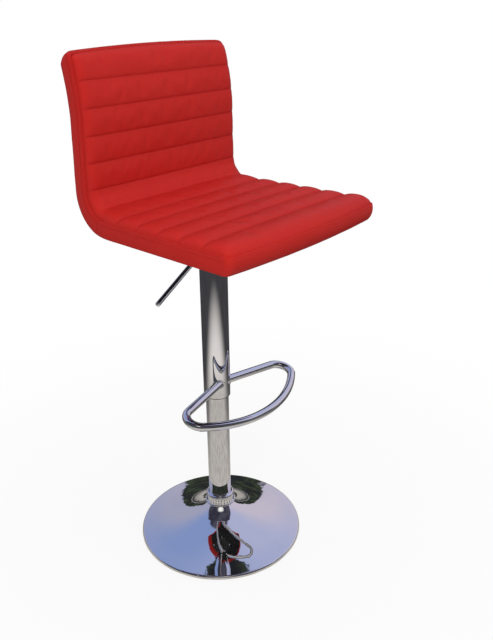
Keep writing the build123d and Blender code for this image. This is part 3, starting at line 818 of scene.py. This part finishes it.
def makeWelds():
    plane = Matrix.Rotation(weld["tilt"], 3, "X")
    rise = plane @ Vector((0, 0, 1))
    root = Vector((0, 0, weld["height"])) + plane @ Vector((0, -weld["root"], 0))
    beads = []
    for side in (-1, 1):
        deselectAll()
        bpy.ops.mesh.primitive_torus_add(major_segments=weld["around"], minor_segments=weld["section"],
                                         major_radius=weld["tube"] + weld["spread"],
                                         minor_radius=weld["bead"])
        bead = added(f"weldBead{side}")
        out = plane @ Vector((side * cos(weld["armAngle"]), -sin(weld["armAngle"]), 0))
        across = rise.cross(out)
        flat = out.xy.length_squared
        for vertex in bead.data.vertices:
            x, y, z = vertex.co
            ring = Vector((x, y)).normalized() * weld["tube"]
            start = root + across * ring.x + rise * ring.y
            run = start.xy.dot(out.xy)
            along = (sqrt(run ** 2 - flat * (start.xy.length_squared - weld["sleeve"] ** 2)) - run) / flat
            turn = ring.angle_signed(Vector((1, 0)))
            ripple = 1 + weld["rippleHeight"] / weld["bead"] * sin(weld["ripples"] * turn)
            vertex.co = root + across * x + rise * y + out * (along + z * ripple)
        beads.append(bead)
    both = joined("footrestWelds", beads)
    tidyMesh(both)
    finishPiece(both, "seat", barChrome)
    print("welds on the footrest")


makeWelds()


# floor, what the chrome sees, lamps and camera

eye = {"place": (-1.0536, -0.9996, 1.1968), "heading": radians(-49.21), "pitch": radians(66.0),
       "roll": radians(-0.66), "lens": 41.15, "sensor": 36, "farthest": 200}
studio = {"floorRadius": 30, "plainWhite": 0.86, "shadowReach": (0.2, 1.4), "floorGrey": (0.86, 0.86, 0.86),
          "bounceGrey": (0.45, 0.45, 0.45), "ambient": 0.40}


def seenPlainly(paint):
    rays = ("Is Camera Ray", "Is Glossy Ray", "Is Transmission Ray")
    direct, mirrored, through = [paint.node("ShaderNodeLightPath", {}, {}, ray) for ray in rays]
    return direct + mirrored + through


def makeFloor():
    deselectAll()
    bpy.ops.mesh.primitive_circle_add(vertices=96, radius=studio["floorRadius"], fill_type="NGON")
    floor = added("studioFloor")
    pale = Nodes(bpy.data.materials.new("paleFloor"), empty=True)
    place = pale.node("ShaderNodeTexCoord", {}, {}, "Object")
    reach = pale.node("ShaderNodeVectorMath", {"operation": "LENGTH"}, {0: place}, "Value")
    faded = pale.between(reach, *studio["shadowReach"])
    share = studio["plainWhite"] + (1 - studio["plainWhite"]) * faded
    bounced = pale.node("ShaderNodeLightPath", {}, {}, "Is Diffuse Ray")
    colour = pale.tint(bounced, studio["floorGrey"], studio["bounceGrey"])
    plain = pale.node("ShaderNodeBsdfDiffuse", {}, {"Color": colour})
    white = pale.node("ShaderNodeEmission", {}, {"Color": (1, 1, 1, 1)})
    pale.surface(pale.node("ShaderNodeMixShader", {}, {0: share * seenPlainly(pale), 1: plain, 2: white}))
    floor.data.materials.append(pale.owner)


def makeWorld():
    air = Nodes(bpy.data.worlds.new("studio"), empty=True)
    ambient = air.node("ShaderNodeBackground", {}, {"Color": (1, 1, 1, 1), "Strength": studio["ambient"]})
    white = air.node("ShaderNodeBackground", {}, {"Color": (1, 1, 1, 1), "Strength": 1.0})
    air.surface(air.node("ShaderNodeMixShader", {}, {0: seenPlainly(air), 1: ambient, 2: white}))
    scene.world = air.owner


# a painted yard and sky that only the chrome sees
# pairs are where a change starts and ends: metres on the ground, parts of the unit sphere in the sky

towardsCamera = Vector((*eye["place"][:2], 0)).normalized()
sideways = Vector((-towardsCamera.y, towardsCamera.x, 0))
yard = {"radius": 6.0, "level": 0.0015, "paleStone": (0.58, 0.545, 0.51), "darkStone": (0.41, 0.38, 0.35),
        "speckScale": 20, "speck": (0.36, 0.64), "sunlit": (0.78, 0.735, 0.70), "sunReach": (0.62, 0.95),
        "pavedBehind": 0.30, "pavedMore": 1.2, "pavedShape": 1.5, "pavedLeast": 0.54,
        "pavedBlur": (-0.50, 0.32),
        "shade": (0.028, 0.024, 0.026), "lawn": (0.075, 0.075, 0.082), "patchScale": 2.5,
        "drive": (0.46, 0.45, 0.46), "driveReach": (2.4, 3.3), "driveWander": 0.8}
sky = {"blue": (0.24, 0.32, 0.59), "pink": (0.45, 0.475, 0.685), "dusk": (0.385, 0.39, 0.53),
       "haze": (0.60, 0.545, 0.655), "pinkSide": (-0.34, 0.40), "blueHeight": (0.40, 0.78),
       "hedge": (0.022, 0.023, 0.025), "leaf": (0.046, 0.062, 0.036), "leafScale": 14,
       "clumpScale": 16, "clump": (0.42, 0.66), "hedgeTop": 0.44, "hedgeDip": 0.29, "dipSide": (0.08, 0.36),
       "dipAhead": (-0.15, 0.10), "hedgeRagged": 0.12, "hedgeBlur": 0.012,
       "tree": (0.016, 0.017, 0.021), "treeAside": 0.02, "treeRagged": 0.10, "treeHalf": 0.19,
       "treeNarrows": 0.12, "treeBlur": 0.008, "barkBlur": 0.05, "treeHeight": (0.40, 0.44),
       "treeAhead": (-0.05, 0.10),
       "house": (0.034, 0.031, 0.050), "eaves": (0.075, 0.072, 0.10), "houseSlant": 0.14,
       "houseAhead": (0.16, 0.21), "houseHeight": (0.40, 0.50), "boardScale": 2.2, "boards": (0.42, 0.70),
       "glow": (1.0, 0.98, 0.95), "glowWide": 0.26, "glowTall": 0.07, "glowHeight": 0.70,
       "glowBlur": (0.2, 1.6), "glowAhead": (0.0, 0.1)}


def onlyForChrome(thing):
    for ray in ("camera", "diffuse", "shadow", "transmission"):
        setattr(thing, "visible_" + ray, False)


def makeYard():
    deselectAll()
    bpy.ops.mesh.primitive_circle_add(vertices=96, radius=yard["radius"], fill_type="NGON",
                                      location=(0, 0, yard["level"]))
    ground = added("yardCard")
    paint = Nodes(bpy.data.materials.new("yardPaint"), empty=True)
    place = paint.node("ShaderNodeTexCoord", {}, {}, "Object")
    reach = paint.node("ShaderNodeVectorMath", {"operation": "LENGTH"}, {0: place}, "Value")
    facing = (paint.along(place, towardsCamera) / reach + 1) * 0.5
    # the paving reaches furthest towards the camera
    paved = yard["pavedBehind"] + yard["pavedMore"] * facing ** yard["pavedShape"]
    paved = paint.node("ShaderNodeMath", {"operation": "MAXIMUM"}, {0: paved, 1: yard["pavedLeast"]})
    speck = paint.between(paint.cloud(place, yard["speckScale"], detail=5, roughness=0.7), *yard["speck"])
    patch = paint.cloud(place, yard["patchScale"])
    stone = paint.tint(speck, yard["darkStone"], yard["paleStone"])
    # painted sunlight: a paler ring of paving, seen only in the chrome
    stone = paint.tint(paint.between(reach, *yard["sunReach"]), stone, yard["sunlit"])
    grass = paint.tint(patch, yard["shade"], yard["lawn"])
    colour = paint.tint(paint.between(reach - paved, *yard["pavedBlur"]), stone, grass)
    driven = paint.between(reach + yard["driveWander"] * patch, *yard["driveReach"])
    colour = paint.tint(driven, colour, yard["drive"])
    paint.surface(paint.node("ShaderNodeEmission", {}, {"Color": colour}))
    ground.data.materials.append(paint.owner)
    onlyForChrome(ground)


def makeSky():
    deselectAll()
    bpy.ops.mesh.primitive_uv_sphere_add(segments=64, ring_count=32, radius=yard["radius"])
    dome = added("skyDome")
    paint = Nodes(bpy.data.materials.new("skyPaint"), empty=True)
    place = paint.node("ShaderNodeTexCoord", {}, {}, "Object")
    look = paint.node("ShaderNodeVectorMath", {"operation": "NORMALIZE"}, {0: place}, "Vector")
    height = paint.along(look, (0, 0, 1))
    ahead = paint.along(look, towardsCamera)
    aside = paint.along(look, sideways)
    across = paint.between(aside, *sky["pinkSide"])
    low = paint.tint(across, sky["dusk"], sky["haze"])
    high = paint.tint(across, sky["blue"], sky["pink"])
    colour = paint.tint(paint.between(height, *sky["blueHeight"]), low, high)
    leaves = paint.cloud(look, sky["leafScale"], detail=6, roughness=0.8) - 0.5
    clumps = paint.between(paint.cloud(look, sky["clumpScale"], detail=4), *sky["clump"])
    green = paint.tint(clumps, sky["hedge"], sky["leaf"])
    middle = abs(aside - sky["treeAside"] + sky["treeRagged"] * leaves)
    farSide = 1 - paint.between(ahead, *sky["dipAhead"])
    dip = sky["hedgeDip"] * paint.between(middle, *sky["dipSide"]) * farSide
    hedgeTop = sky["hedgeTop"] - dip + sky["hedgeRagged"] * leaves
    colour = paint.tint(paint.between(hedgeTop - height, 0.0, sky["hedgeBlur"]), colour, green)
    treeSide = sky["treeHalf"] - sky["treeNarrows"] * height - middle
    behind = paint.between(height, *sky["treeHeight"]) * (1 - paint.between(ahead, *sky["treeAhead"]))
    bark = paint.tint(paint.between(treeSide, 0.0, sky["barkBlur"]), green, sky["tree"])
    colour = paint.tint(paint.between(treeSide, 0.0, sky["treeBlur"]) * behind, colour, bark)
    front = paint.between(ahead - sky["houseSlant"] * aside, *sky["houseAhead"])
    front = front * paint.between(height, *sky["houseHeight"])
    boards = paint.between(paint.cloud(look, sky["boardScale"], detail=4), *sky["boards"])
    colour = paint.tint(front, colour, paint.tint(boards, sky["house"], sky["eaves"]))
    # painted glint: a bright spot in the sky towards the camera, seen only in the chrome as a sun glint on
    # the dish's neck
    glare = (aside / sky["glowWide"]) ** 2 + ((height - sky["glowHeight"]) / sky["glowTall"]) ** 2
    glowing = (1 - paint.between(glare, *sky["glowBlur"])) * paint.between(ahead, *sky["glowAhead"])
    colour = paint.tint(glowing, colour, sky["glow"])
    paint.surface(paint.node("ShaderNodeEmission", {}, {"Color": colour}))
    dome.data.materials.append(paint.owner)
    onlyForChrome(dome)


lamps = {
    "keyLamp": {"place": (-2.5, -1.7, 2.1), "size": 1.4, "watts": 58},
    "fillLamp": {"place": (1.4, -2.8, 1.7), "size": 2.0, "watts": 14},
    "topLamp": {"place": (0.1, -0.3, 3.2), "size": 2.2, "watts": 18},
    "backLamp": {"place": (1.4, 2.4, 1.6), "size": 2.0, "watts": 16},
}
aim = Vector((0, 0, 0.72))


def makeLamps():
    for name, lamp in lamps.items():
        deselectAll()
        bpy.ops.object.light_add(type="AREA", location=lamp["place"])
        light = added(name)
        light.data.energy = lamp["watts"]
        light.data.size = lamp["size"]
        light.rotation_euler = (aim - Vector(lamp["place"])).to_track_quat("-Z", "Y").to_euler()
        light.visible_glossy = False  # the chrome sees the painted sky instead


def makeCamera():
    deselectAll()
    bpy.ops.object.camera_add(location=eye["place"])
    camera = added("photoCamera")
    turn = Matrix.Rotation(eye["heading"], 3, "Z") @ Matrix.Rotation(eye["pitch"], 3, "X")
    camera.rotation_euler = (turn @ Matrix.Rotation(eye["roll"], 3, "Z")).to_euler()
    camera.data.lens = eye["lens"]
    camera.data.sensor_width = eye["sensor"]
    camera.data.clip_end = eye["farthest"]
    scene.camera = camera


makeFloor()
makeWorld()
makeYard()
makeSky()
makeLamps()
makeCamera()
scene.view_settings.view_transform = "Standard"
print("studio ready")
